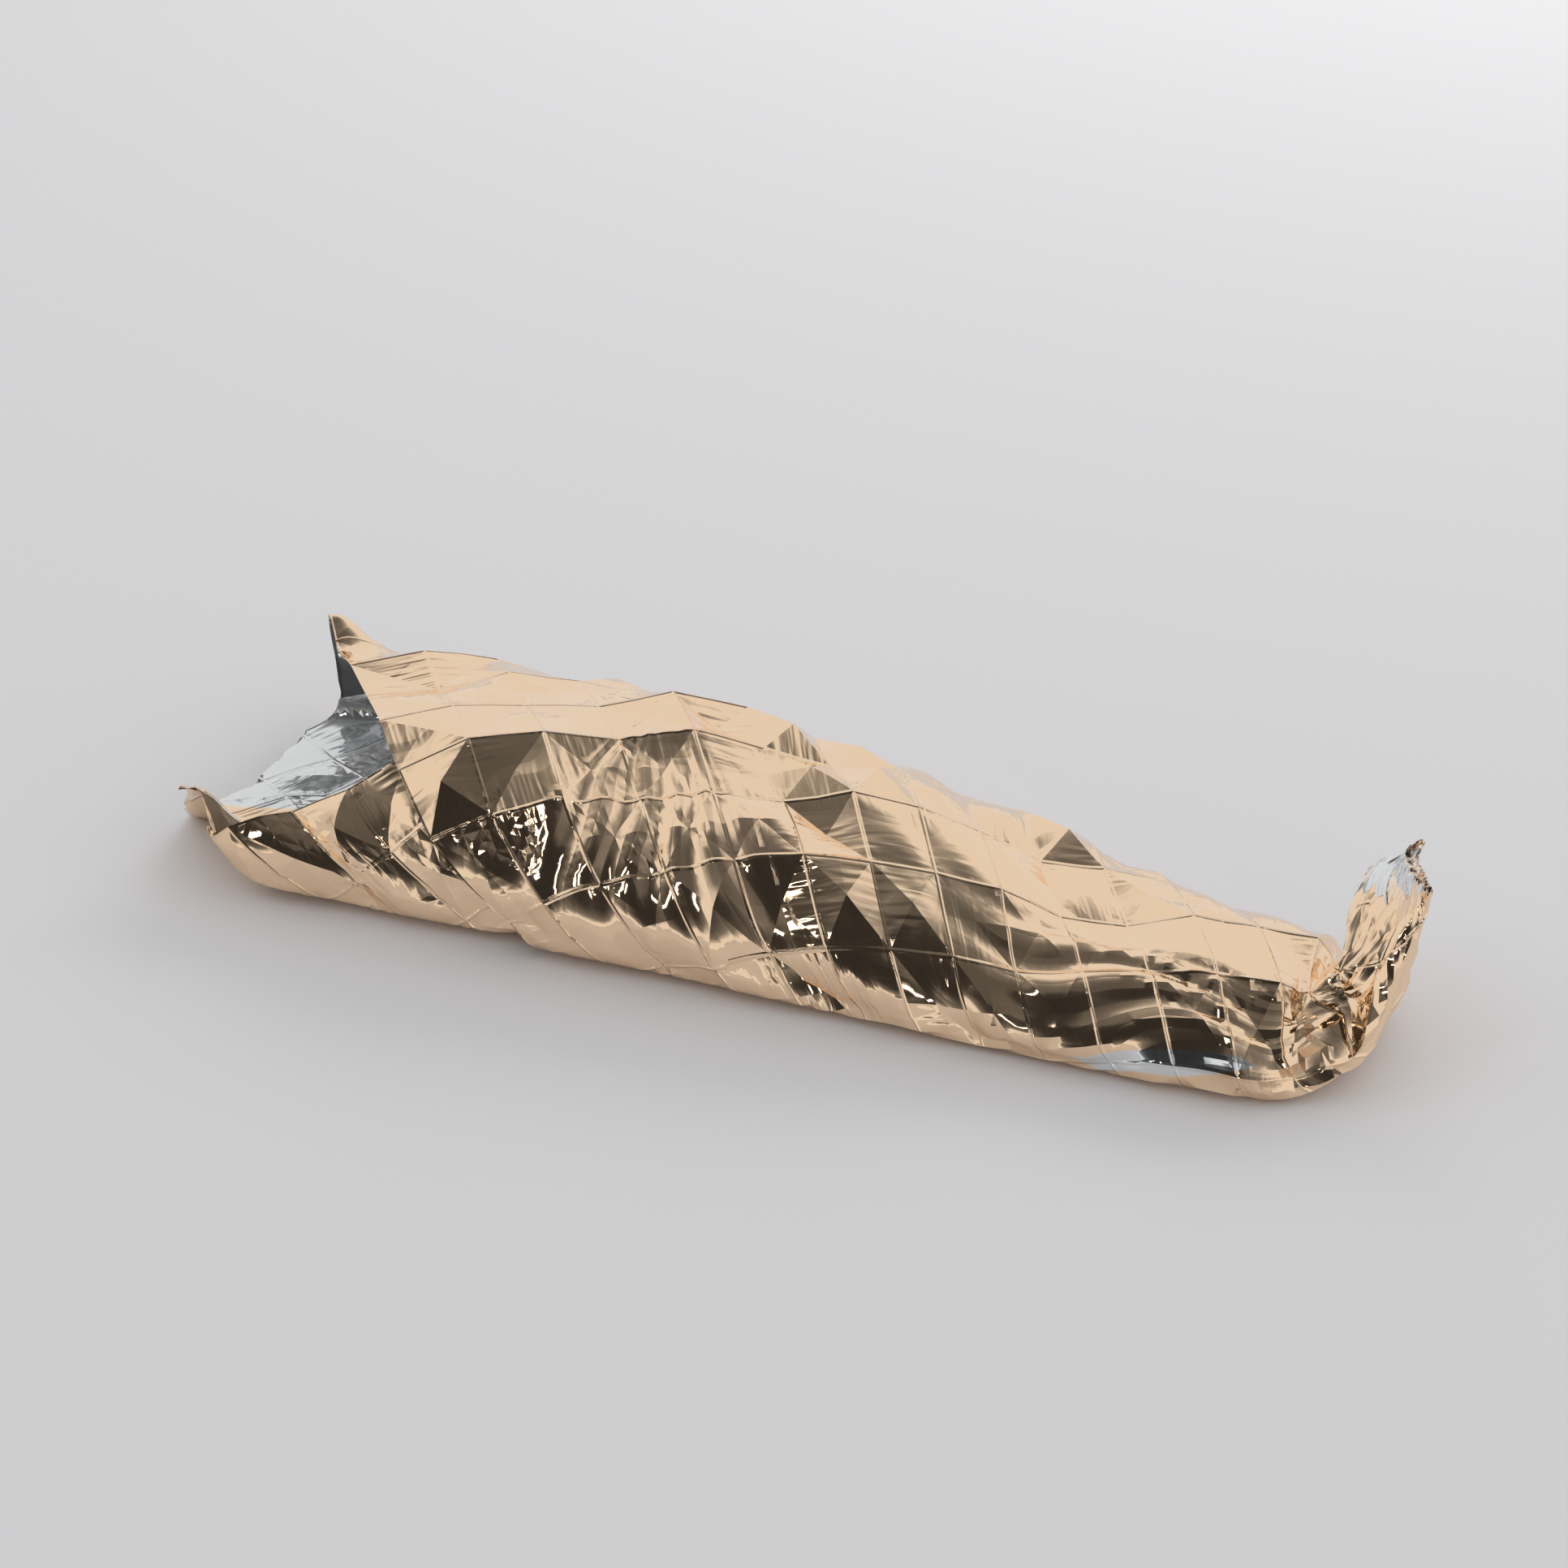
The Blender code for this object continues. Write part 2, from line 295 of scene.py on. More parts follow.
# The film's two faces: polyester film with metal evaporated onto it. The gold face has a tinted lacquer,
# and gives warm mirror images that break up from facet to facet. The silver face is bare metal. Wrinkles too
# fine for the mesh scatter some of its light, so it is less of a mirror.
GOLD = "#FCDDBA"
GOLD_ROUGHNESS = 0.055
GOLD_MIRROR = 1.0
SILVER = "#E9EBEC"
SILVER_ROUGHNESS = 0.09
SILVER_MIRROR = 0.80

# Fine relief in the materials, in metres. The packing folds are pressed lines CREASE_WIDTH wide to each side.
CREASE_WIDTH = 0.0032
CREASE_HEIGHT = 0.0010

# Slack ripples, one about every 67 mm
RIPPLES_PER_METRE = 15.0
RIPPLE_HEIGHT = 0.0012
RIPPLE_BEND = 0.4

# Sharp crumples about 21 mm across, as steep as this where the film is fully crumpled. Where two packing
# folds cross there are some too: NODE_CRUMPLE of that, which fades over NODE_REACH from the crossing.
CRUMPLES_PER_METRE = 48.0
CRUMPLE_SLOPE = 0.22
NODE_CRUMPLE = 0.25
NODE_REACH = (0.006, 0.026)

# Drawn wrinkles that lie side by side, in patches about 140 mm across: how many there are to the metre the
# short way and the long way of the cut, with 1 as a filler, and the patch values at which they start and at
# which they have their full height
PATCHES_PER_METRE = 7.0
STRAND_HEIGHT = 0.0024
STRAND_BEND = 0.3
STRANDS = (
    ((80.0, 12.0, 1.0), 0.50, 0.60),
    ((14.0, 90.0, 1.0), 0.46, 0.38),
)

# Each pleat is broken into PLEAT_SLOPES narrow slopes, up and down by turns, of PLEAT_BUMP of its height.
# They drift sideways with the ripples by up to PLEAT_DRIFT of the pleat. Where pleats are PLEAT_CALM high
# there are no drawn wrinkles.
PLEAT_SLOPES = 4.0
PLEAT_BUMP = 0.24
PLEAT_DRIFT = 0.10
PLEAT_CALM = 0.0025

# A place this near to a panel's edge counts as past it, and no length is taken to be less
TINY = 1e-9

# The colour sockets of a mix node, by number
MIX_SHARE, MIX_FIRST, MIX_SECOND, MIX_RESULT = 0, 6, 7, 2


def column(table, names, name):
    """One named column of a table, as an array."""
    return np.array([row[names.index(name)] for row in table], float)


def at_station(name, along):
    """A station value, eased between the table's rows."""
    x = column(STATIONS, STATION_COLUMNS, "along")
    y = column(STATIONS, STATION_COLUMNS, name)
    slope = np.gradient(y, x)
    i = np.clip(np.searchsorted(x, along) - 1, 0, len(x) - 2)
    span = x[i + 1] - x[i]
    u = np.clip((along - x[i]) / span, 0.0, 1.0)
    ease = u * u * (3 - 2 * u)
    rise = (u**3 - 2 * u**2 + u) * span * slope[i] + (u**3 - u**2) * span * slope[i + 1]
    return y[i] * (1 - ease) + y[i + 1] * ease + rise


def smooth(value, low, high):
    """0 below low, 1 above high, and a soft step between them."""
    u = np.clip((value - low) / (high - low), 0.0, 1.0)
    return u * u * (3 - 2 * u)


def power(value, exponent):
    """A power that keeps the sign."""
    return np.sign(value) * np.abs(value) ** exponent


def lay_point(short, long):
    """Where a point of the cut lies, by its distances along the short and the long way of the film."""
    along = short * math.cos(LAY_ANGLE) + long * math.sin(LAY_ANGLE)
    across = HEAD_CORNER_ACROSS - short * math.sin(LAY_ANGLE) + long * math.cos(LAY_ANGLE)
    return along, across


def far_edge(along):
    """The film's edge on the far side, which folds over last."""
    corner = lay_point(FILM_SHORT, 0)
    first = HEAD_CORNER_ACROSS - along * math.tan(LAY_ANGLE)
    second = corner[1] + (along - corner[0]) / math.tan(LAY_ANGLE)
    return np.maximum(first, second)


def loop_point(angle, width, height):
    """A point of the loop, by its angle from the base's middle, positive towards the near side."""
    c = np.cos(angle)
    y = -0.5 * width * power(np.sin(angle), np.where(c > 0, BASE_SIDE_POWER, TOP_SIDE_POWER))
    low = BELLY * (1 - power(np.maximum(c, 0), BASE_POWER))
    high = BELLY + (1 - BELLY) * power(np.maximum(-c, 0), TOP_POWER)
    z = np.where(c > 0, low, high) * height
    return y, np.maximum(z - BASE_SINK, 0.0)


class LoopTables:
    """The distance along the loop to each of its angles, at many stations."""

    def __init__(self, stations=240, samples=720):
        self.along = np.linspace(0.0, FOOT_FOLD, stations)
        self.angle = np.linspace(0, 2 * math.pi, samples + 1)
        width = at_station("width", self.along)[:, None]
        height = at_station("height", self.along)[:, None]
        y, z = loop_point(self.angle[None, :], width, height)
        steps = np.hypot(np.diff(y, axis=1), np.diff(z, axis=1))
        self.distance = np.concatenate([np.zeros((stations, 1)), np.cumsum(steps, axis=1)], axis=1)
        near_foot = int(round(NEAR_FOOT_ANGLE / (2 * math.pi) * samples))
        self.near_foot = self.distance[:, near_foot]

    def round_loop(self, along):
        """The length of one turn of the film round the wrap."""
        return np.interp(along, self.along, self.distance[:, -1])

    def near_foot_at(self, along):
        """The distance along the film from the base's middle to the near foot."""
        return np.interp(along, self.along, self.near_foot)

    def angles(self, along, across):
        """The loop angle of each distance across the film."""
        place = np.clip(along / FOOT_FOLD, 0, 1) * (len(self.along) - 1)
        low = np.minimum(place.astype(int), len(self.along) - 2)
        share = place - low
        result = np.empty(len(along))
        for k in range(len(along)):
            row = self.distance[low[k]] * (1 - share[k]) + self.distance[low[k] + 1] * share[k]
            whole = math.floor(across[k] / row[-1])
            result[k] = whole * 2 * math.pi + np.interp(across[k] - whole * row[-1], row, self.angle)
        return result


TABLES = LoopTables()


def station_of(along):
    """The station at which a place along the flat film lies once both ends are folded."""
    return FOOT_FOLD - np.abs(HEAD_FOLD + np.abs(along - HEAD_FOLD) - FOOT_FOLD)


def wrapped_point(along, angle):
    """Where the film lies in space, by its place along the wrap and its loop angle. Each turn towards
    the far side lies outside the one before it, and each one under the wrap is flat."""
    folded_back = smooth(along, FOOT_FOLD - FOLD_REACH, FOOT_FOLD + FOLD_REACH) * FOLD_GAP
    not_under = smooth(along, HEAD_FOLD - FOLD_REACH, HEAD_FOLD + FOLD_REACH)
    station = station_of(along)
    width, height = at_station("width", station), at_station("height", station)
    y, z = loop_point(angle, width, height)
    turn = -angle / (2 * math.pi)
    spread = turn * TURN_PITCH * np.clip(height / LOOSE_HEIGHT, LEAST_PITCH_SHARE, 1.0)
    up = z - BELLY * height
    reach = np.where(up > 0, 1 - BELLY, BELLY) * height
    outwards = np.where(up > 0, spread, np.round(turn) * UNDER_PITCH)
    y = y * (1 + (spread - folded_back) / (width / 2))
    z = z + up * (outwards - folded_back) / reach
    head_lift = FOLD_GAP * (not_under - smooth(station, *HEAD_FOLD_FADE)) * (1 - smooth(z, *LIFT_FADE))
    z = np.maximum(z + head_lift + under_lift(station, y, z), 0.0)
    share = np.clip(z / height, 0, 1)
    x = station - at_station("lean", station) * smooth(share, 0.0, 1.0)
    z = z + swell(x, y) * smooth(share, *SWELL_FADE)
    above = smooth(station, KNOT, KNOT + FAN_OPENS)
    drawn = HEEL_SHARE + (1 - HEEL_SHARE) * smooth(share, *HEEL_FADE)
    gathered = KNOT_DRAW * np.exp(-(((station - KNOT) / KNOT_REACH) ** 2)) * drawn + FAN_NARROW * above
    y = y * (1 - gathered) + at_station("centre", station) + FAN_SHIFT * smooth(station, KNOT, FOOT_FOLD)
    z = z * (1 - FOOT_PINCH * smooth(station, *FOOT_PINCH_FADE))
    x, y, z = foot_path(x, y, z)
    return x + FAN_STRETCH * smooth(station, *STRETCH_FADE), y, z


def under_lift(along, y, z):
    """How far a layer rises over the film that is tucked under it on the near side."""
    depth = -far_edge(along) - TABLES.round_loop(along) + TABLES.near_foot_at(along)
    inwards = y + 0.5 * at_station("width", along)
    over = smooth(depth - inwards, *TUCK_FADE) * smooth(depth, *TUCK_FADE)
    return UNDER_PITCH * over * (1 - smooth(z, *LIFT_FADE))


def swell(x, y):
    """How far the swells raise the wrap at a place."""
    total = 0.0
    for x0, y0, reach_x, reach_y, height in SWELLS:
        total = total + height * np.exp(-(((x - x0) / reach_x) ** 2) - ((y - y0) / reach_y) ** 2)
    return total


def foot_path(x, y, z):
    """Bends what lies past FOOT_START up, and sets the fan askew."""
    beyond = np.maximum(x - FOOT_START, 0.0)
    turn = np.minimum(beyond / FOOT_RADIUS, FOOT_ANGLE)
    straight = np.maximum(beyond - FOOT_RADIUS * FOOT_ANGLE, 0.0)
    reach = FOOT_RADIUS - z
    x = np.minimum(x, FOOT_START) + reach * np.sin(turn) + straight * np.cos(turn)
    z = FOOT_RADIUS - reach * np.cos(turn) + straight * np.sin(turn)
    in_fan = smooth(x, FAN_START, FAN_START + FAN_START_FADE)
    far = np.clip((y - FAN_NEAR) / FAN_WIDTH, 0.0, 1.0) * in_fan
    x = x - FAN_DRAW * far * smooth(z, FAN_BASE, FAN_TOP) * (1 - FAN_RETURN * smooth(z, FAN_TOP, FAN_CREST))
    z = z + (FAN_RISE * in_fan - FAN_DROP * far) * np.maximum(z - FAN_BASE, 0.0)
    return x, y, z


# The film as a grid of points that follows its packing creases


def film_grid():
    """The flat places of the film's points."""
    u = np.linspace(0, FILM_SHORT, PANELS_SHORT * STEPS + 1)
    v = np.linspace(0, FILM_LONG, PANELS_LONG * STEPS + 1)
    return np.meshgrid(u, v, indexing="ij")


def covered_share(along, angle):
    """1 where another layer of film lies over this one, and 0 where it shows from outside."""
    station = station_of(along)
    next_turn = angle - 2 * math.pi
    across = across_of(station, next_turn)
    depth = across - far_edge(station)
    return smooth(depth, *COVERED_FADE)


def across_of(station, angle):
    """The distance across the film of each loop angle."""
    whole = np.floor(angle / (2 * math.pi))
    part = angle - whole * 2 * math.pi
    place = np.clip(station / FOOT_FOLD, 0, 1) * (len(TABLES.along) - 1)
    low = np.minimum(place.astype(int), len(TABLES.along) - 2)
    share = place - low
    column_place = part / (2 * math.pi) * (len(TABLES.angle) - 1)
    left = np.minimum(column_place.astype(int), len(TABLES.angle) - 2)
    rest = column_place - left
    d = TABLES.distance
    upper = d[low, left] * (1 - rest) + d[low, left + 1] * rest
    lower = d[low + 1, left] * (1 - rest) + d[low + 1, left + 1] * rest
    return whole * TABLES.round_loop(station) + upper * (1 - share) + lower * share


def panel_shares(u, v):
    """For each point: its panel, and its place in it from 0 to 1 each way."""
    a = u / FILM_SHORT * PANELS_SHORT
    b = v / FILM_LONG * PANELS_LONG
    i = np.clip(np.floor(a + TINY).astype(int), 0, PANELS_SHORT - 1)
    j = np.clip(np.floor(b + TINY).astype(int), 0, PANELS_LONG - 1)
    return i, j, a - i, b - j


def over_facets(corner, middle, u, v):
    """Values given at the panels' corners and middles, carried straight over the four facets of each."""
    i, j, p, q = panel_shares(u, v)
    c00, c10 = corner[i, j], corner[i + 1, j]
    c01, c11 = corner[i, j + 1], corner[i + 1, j + 1]
    m = middle[i, j]
    if corner.ndim == 3:
        p, q = p[..., None], q[..., None]
    low, high = (q <= p) & (q <= 1 - p), (q > p) & (q > 1 - p)
    left = (p < q) & (p <= 1 - q)
    first = c00 * (1 - p - q) + c10 * (p - q) + m * 2 * q
    last = c01 * (q - p) + c11 * (p + q - 1) + m * 2 * (1 - q)
    side = c00 * (1 - p - q) + c01 * (q - p) + m * 2 * p
    other = c10 * (p - q) + c11 * (p + q - 1) + m * 2 * (1 - p)
    return np.where(low, first, np.where(high, last, np.where(left, side, other)))


def crossed_panels():
    """Which panels are creased crosswise into four facets. The others are curved like pillows."""
    rng = np.random.default_rng(SEED + 1)
    return rng.uniform(0, 1, (PANELS_SHORT, PANELS_LONG)) < CROSSED_SHARE


def broken_panels():
    """How far each panel is broken up into smaller facets."""
    rng = np.random.default_rng(SEED + 2)
    return BROKEN_MOST * smooth(rng.uniform(0, 1, (PANELS_SHORT, PANELS_LONG)), *BROKEN_RANGE)


def over_panels(corner, middle, u, v):
    """Values given at the panels' corners and middles, carried over facets or pillows."""
    i, j, p, q = panel_shares(u, v)
    crossed = crossed_panels()[i, j]
    dome = np.sin(math.pi * p) * np.sin(math.pi * q)
    if corner.ndim == 3:
        p, q, dome, crossed = p[..., None], q[..., None], dome[..., None], crossed[..., None]
    c00, c10, c01, c11 = corner[i, j], corner[i + 1, j], corner[i, j + 1], corner[i + 1, j + 1]
    even = (c00 * (1 - p) + c10 * p) * (1 - q) + (c01 * (1 - p) + c11 * p) * q
    mean = (c00 + c10 + c01 + c11) / 4
    pillow = even + (middle[i, j] - mean) * dome
    return np.where(crossed, over_facets(corner, middle, u, v), pillow)


def between_corners(corner, u, v):
    """Values given at the corners of half panels, carried straight over two facets of each. The facets
    part along the panels' own diagonals."""
    a = u / FILM_SHORT * (corner.shape[0] - 1)
    b = v / FILM_LONG * (corner.shape[1] - 1)
    i = np.clip(np.floor(a + TINY).astype(int), 0, corner.shape[0] - 2)
    j = np.clip(np.floor(b + TINY).astype(int), 0, corner.shape[1] - 2)
    p, q = a - i, b - j
    c00, c10, c01, c11 = corner[i, j], corner[i + 1, j], corner[i, j + 1], corner[i + 1, j + 1]
    lower = c00 + (c10 - c00) * p + (c11 - c10) * q
    upper = c00 + (c01 - c00) * q + (c11 - c01) * p
    near = c00 + (c10 - c00) * p + (c01 - c00) * q
    far = c11 + (c01 - c11) * (1 - p) + (c10 - c11) * (1 - q)
    rising = np.where(p > q, lower, upper)
    falling = np.where(p + q < 1, near, far)
    return np.where(i % 2 == j % 2, rising, falling)


def grid_normals(points):
    """Outward normals at a grid of points in space."""
    du = np.gradient(points, axis=0)
    dv = np.gradient(points, axis=1)
    normal = np.cross(du, dv)
    return normal / np.maximum(np.linalg.norm(normal, axis=2, keepdims=True), TINY)


def film_relief(u, v, along, across):
    """How far each point stands out from the smooth wrap, and the parts that this is made of."""
    rng = np.random.default_rng(SEED)
    corner_rise = rng.uniform(-1, 1, (PANELS_SHORT + 1, PANELS_LONG + 1)) * CORNER_RISE
    middle_rise = rng.uniform(-MIDDLE_SUNK, 1, (PANELS_SHORT, PANELS_LONG)) * MIDDLE_RISE
    middle_rise = np.where(crossed_panels(), middle_rise, middle_rise * PILLOW_SHARE)
    facets = over_panels(corner_rise, middle_rise, u, v)
    phase, depth = pleats(along, across)
    folds = -depth * np.cos(2 * math.pi * phase)
    crumpled = crumple_share(along, across)
    half_panels = rng.uniform(-1, 1, (2 * PANELS_SHORT + 1, 2 * PANELS_LONG + 1)) * CRUMPLE_RISE
    fine = rng.uniform(-1, 1, u.shape) * FINE_CRUMPLE_RISE
    corners = panel_means(broken_panels())
    broken = over_facets(corners, broken_panels(), u, v)
    crumples = between_corners(half_panels, u, v) * np.maximum(crumpled, broken) + fine * crumpled
    calmed = 1 - PLEAT_FLATTENS * np.clip(depth / PLEAT_FULL, 0, 1)
    return facets * calmed + folds + crumples + bulges(along, across), phase, depth, crumpled


def pleats(along, across):
    """The number of the pleat at each point, as a running number, and the pleats' height there."""
    station = station_of(along)
    phase = across / GATHER_PITCH
    opened = smooth(station, KNOT + GATHER_OPENS, FOOT_FOLD)
    depth = GATHER_HEIGHT * smooth(station, *GATHER_FADE) * (1 - GATHER_LOSS * opened)
    for x, y, heading, spread, start, end, count, height in PLEATS:
        away = np.hypot(along - x, across - y)
        turn = np.degrees(np.arctan2(across - y, along - x)) - heading
        turn = (turn + 180) % 360 - 180
        ends = smooth(away, 0.0, start) * (1 - smooth(away, PLEAT_END_SHARE * end, end))
        sides = 1 - smooth(np.abs(turn), PLEAT_SIDES[0] * spread, PLEAT_SIDES[1] * spread)
        width = away * math.radians(spread) / count
        here = np.minimum(height, PLEAT_STEEPEST * width) * ends * sides
        wander = PLEAT_WANDER * np.sin(away * WANDER_OUTWARDS + turn * WANDER_ROUND)
        phase = np.where(here > depth, turn / spread * count + wander, phase)
        depth = np.maximum(depth, here)
    return phase, depth


def crumple_share(along, across):
    """0 on smooth film and up to 1 where it is crumpled."""
    share = np.zeros(along.shape)
    for x, y, reach_along, reach_across, amount in CRUMPLES:
        away = np.hypot((along - x) / reach_along, (across - y) / reach_across)
        share = np.maximum(share, amount * (1 - smooth(away, *CRUMPLE_FADE)))
    return share


def bulges(along, across):
    """How far the bulges raise the film at each point."""
    height = np.zeros(along.shape)
    for x, y, reach_along, reach_across, rise in BULGES:
        height += rise * np.exp(-(((along - x) / reach_along) ** 2) - ((across - y) / reach_across) ** 2)
    return height


def turned_over(along, across):
    """How far inside the turned-over wedge a point is, negative outside."""
    start, end = np.array(TURNED_START), np.array(TURNED_END)
    length = math.dist(TURNED_START, TURNED_END)
    ahead = (end - start) / length
    place = ((along - start[0]) * ahead[0] + (across - start[1]) * ahead[1]) / length
    down = (along - start[0]) * ahead[1] - (across - start[1]) * ahead[0]
    width = TURNED_WIDTH * smooth(place, 0.0, TURNED_TAPERS[0]) * (1 - smooth(place, TURNED_TAPERS[1], 1.0))
    inside = np.clip(np.minimum(down, width - down), -MARK_REACH, MARK_REACH)
    return np.where((place > 0) & (place < 1), inside, -MARK_REACH)


def doubled(along, across):
    """How far inside the doubled corner of the collar a point is, negative outside."""
    inside = np.minimum(across - DOUBLED_FROM, DOUBLED_TO - station_of(along))
    return np.clip(inside, -MARK_REACH, MARK_REACH)


def film_points():
    """The film's outer face, which is the wrap with its panels puckered into facets, and the marks on it."""
    u, v = film_grid()
    along, across = lay_point(u, v)
    for fold in (HEAD_FOLD, FOOT_FOLD):
        along = np.where(np.abs(along - fold) < FOLD_SNAP, fold, along)
    station = station_of(along)
    angle = TABLES.angles(station.ravel(), across.ravel()).reshape(u.shape)
    base = np.stack(wrapped_point(along, angle), axis=2)
    normal = grid_normals(base)
    on_ground = smooth(-normal[..., 2], *FACING_DOWN) * (1 - smooth(base[..., 2], *GROUND_FADE))
    on_ground = np.where(along < HEAD_FOLD, 1.0, on_ground)
    inside = np.maximum(covered_share(along, angle), smooth(along, FOOT_FOLD, FOOT_FOLD + INSIDE_FADE))
    rise, phase, depth, crumpled = film_relief(u, v, along, across)
    moved = levelled(base, u, v, (1 - on_ground) * (1 - inside))
    out = rise * (1 - inside) - LAYER_ROOM * inside * np.where(along > FOOT_FOLD, -1, 1)
    out = out * (1 - RIM_CALM * smooth(station, *RIM_FADE))
    moved = moved + normal * (out * (1 - on_ground))[..., None]
    past_fold = smooth(along, HEAD_FOLD + LOOSE_START[0], HEAD_FOLD + LOOSE_START[1])
    loose = on_ground * past_fold * (1 - smooth(along, *LOOSE_FADE))
    moved[..., 2] += LOOSE_SHARE * loose * np.abs(rise)
    moved = turn_collar(moved, station, across)
    moved[..., 2] = np.maximum(moved[..., 2], 0.0)
    low, high = base.reshape(-1, 3).min(axis=0), base.reshape(-1, 3).max(axis=0)
    to_frame = (cad_box[0][0] - low[0], (cad_box[0][1] + cad_box[1][1] - low[1] - high[1]) / 2, 0.0)
    marks = {
        "pleat_number": phase,
        "pleat_height": depth * (1 - on_ground),
        "crumple": crumpled,
        "turned_over": turned_over(along, across),
        "doubled": doubled(along, across),
    }
    return moved + to_frame, normal, u, v, marks


def levelled(base, u, v, share):
    """The wrap's points, with its gently bent panels drawn flat by a share."""
    half = STEPS // 2
    flat = over_panels(base[::STEPS, ::STEPS], base[half::STEPS, half::STEPS], u, v)
    corner_bend, middle_bend = panel_worst(np.linalg.norm(flat - base, axis=2))
    level = over_facets(1 - smooth(corner_bend, *LEVEL_BENDS), 1 - smooth(middle_bend, *LEVEL_BENDS), u, v)
    return base + (flat - base) * (level * share)[..., None]


def turn_collar(points, station, across):
    """Turns the collar's near corner, and draws its near side out towards the head."""
    turned = smooth(across, *COLLAR_TURN_ACROSS) * (1 - smooth(station, *COLLAR_TURN_STATIONS))
    reaching = smooth(across, *COLLAR_REACH_ACROSS) * (1 - smooth(station, *COLLAR_REACH_STATIONS))
    moved = points + turned[..., None] * COLLAR_TURN
    moved[..., 0] -= COLLAR_REACH * reaching
    return moved


def panel_means(panels):
    """The mean of the panels round each panel corner."""
    padded = np.pad(panels, 1, mode="edge")
    return (padded[:-1, :-1] + padded[1:, :-1] + padded[:-1, 1:] + padded[1:, 1:]) / 4


def panel_worst(values):
    """The largest value round each panel corner, and in each panel."""
    blocks = np.zeros((PANELS_SHORT, PANELS_LONG))
    for i in range(PANELS_SHORT):
        for j in range(PANELS_LONG):
            part = values[i * STEPS : (i + 1) * STEPS + 1, j * STEPS : (j + 1) * STEPS + 1]
            blocks[i, j] = part.max()
    corners = np.zeros((PANELS_SHORT + 1, PANELS_LONG + 1))
    for i in range(PANELS_SHORT + 1):
        for j in range(PANELS_LONG + 1):
            corners[i, j] = blocks[max(i - 1, 0) : i + 1, max(j - 1, 0) : j + 1].max()
    return corners, blocks


def linear(code):
    """An sRGB hex colour as linear numbers."""
    parts = [int(code[k : k + 2], 16) / 255 for k in (1, 3, 5)]
    return (*[p / 12.92 if p <= 0.04045 else ((p + 0.055) / 1.055) ** 2.4 for p in parts], 1.0)


def node(tree, kind, links=None, **settings):
    """Adds one node with its settings. Each named input is linked to an output or to a node's first output,
    or gets a value."""
    made = tree.nodes.new(kind)
    for name, value in settings.items():
        setattr(made, name, value)
    for name, source in (links or {}).items():
        socket = made.inputs[name]
        if isinstance(source, bpy.types.Node):
            tree.links.new(source.outputs[0], socket)
        elif isinstance(source, bpy.types.NodeSocket):
            tree.links.new(source, socket)
        else:
            socket.default_value = source
    return made


def from_packing_folds(tree, flat):
    """The distance to the nearest packing fold, each way of the film."""
    split = node(tree, "ShaderNodeSeparateXYZ", {"Vector": flat})
    distances = []
    for axis, panel in (("X", FILM_SHORT / PANELS_SHORT), ("Y", FILM_LONG / PANELS_LONG)):
        shifted = node(tree, "ShaderNodeMath", {0: split.outputs[axis], 1: panel / 2}, operation="ADD")
        in_panel = node(tree, "ShaderNodeMath", {0: shifted, 1: panel}, operation="MODULO")
        offset = node(tree, "ShaderNodeMath", {0: in_panel, 1: panel / 2}, operation="SUBTRACT")
        distances.append(node(tree, "ShaderNodeMath", {0: offset}, operation="ABSOLUTE"))
    return distances


def packing_creases(tree, folds):
    """The height of the pressed lines along the packing folds."""
    nearest = node(tree, "ShaderNodeMath", {0: folds[0], 1: folds[1]}, operation="MINIMUM")
    pressed = {
        "Value": nearest,
        "From Min": 0.0,
        "From Max": CREASE_WIDTH,
        "To Min": CREASE_HEIGHT,
        "To Max": 0.0,
    }
    return node(tree, "ShaderNodeMapRange", pressed, interpolation_type="SMOOTHSTEP")


def sharp_crumples(tree, flat, folds):
    """The height of the crumples, which are cells that rise from their edges to a ridge."""
    farthest = node(tree, "ShaderNodeMath", {0: folds[0], 1: folds[1]}, operation="MAXIMUM")
    crossing = {
        "Value": farthest,
        "From Min": NODE_REACH[0],
        "From Max": NODE_REACH[1],
        "To Min": NODE_CRUMPLE,
        "To Max": 0.0,
    }
    by_crossing = node(tree, "ShaderNodeMapRange", crossing)
    crumpled = node(tree, "ShaderNodeAttribute", attribute_name="crumple").outputs["Fac"]
    amount = node(tree, "ShaderNodeMath", {0: by_crossing, 1: crumpled}, operation="MAXIMUM")
    slope = node(tree, "ShaderNodeMath", {0: amount, 1: CRUMPLE_SLOPE}, operation="MULTIPLY")
    spread = {"Vector": flat, "Scale": CRUMPLES_PER_METRE, "Randomness": 1.0}
    cells = node(tree, "ShaderNodeTexVoronoi", spread, feature="DISTANCE_TO_EDGE", voronoi_dimensions="2D")
    from_edge = {0: cells.outputs["Distance"], 1: 1 / CRUMPLES_PER_METRE}
    metres = node(tree, "ShaderNodeMath", from_edge, operation="MULTIPLY")
    return node(tree, "ShaderNodeMath", {0: metres, 1: slope}, operation="MULTIPLY")


def fine_pleats(tree, ripples, pleat_height):
    """The height of the fine pleats, which run along the film's own pleats."""
    number = node(tree, "ShaderNodeAttribute", attribute_name="pleat_number").outputs["Fac"]
    drifted = node(tree, "ShaderNodeMath", {0: ripples, 1: PLEAT_DRIFT, 2: number}, operation="MULTIPLY_ADD")
    finer = node(tree, "ShaderNodeMath", {0: drifted, 1: PLEAT_SLOPES}, operation="MULTIPLY")
    fold = node(tree, "ShaderNodeMath", {0: finer, 1: 1.0}, operation="PINGPONG")
    depth = node(tree, "ShaderNodeMath", {0: pleat_height, 1: PLEAT_BUMP}, operation="MULTIPLY")
    return node(tree, "ShaderNodeMath", {0: fold, 1: depth}, operation="MULTIPLY")


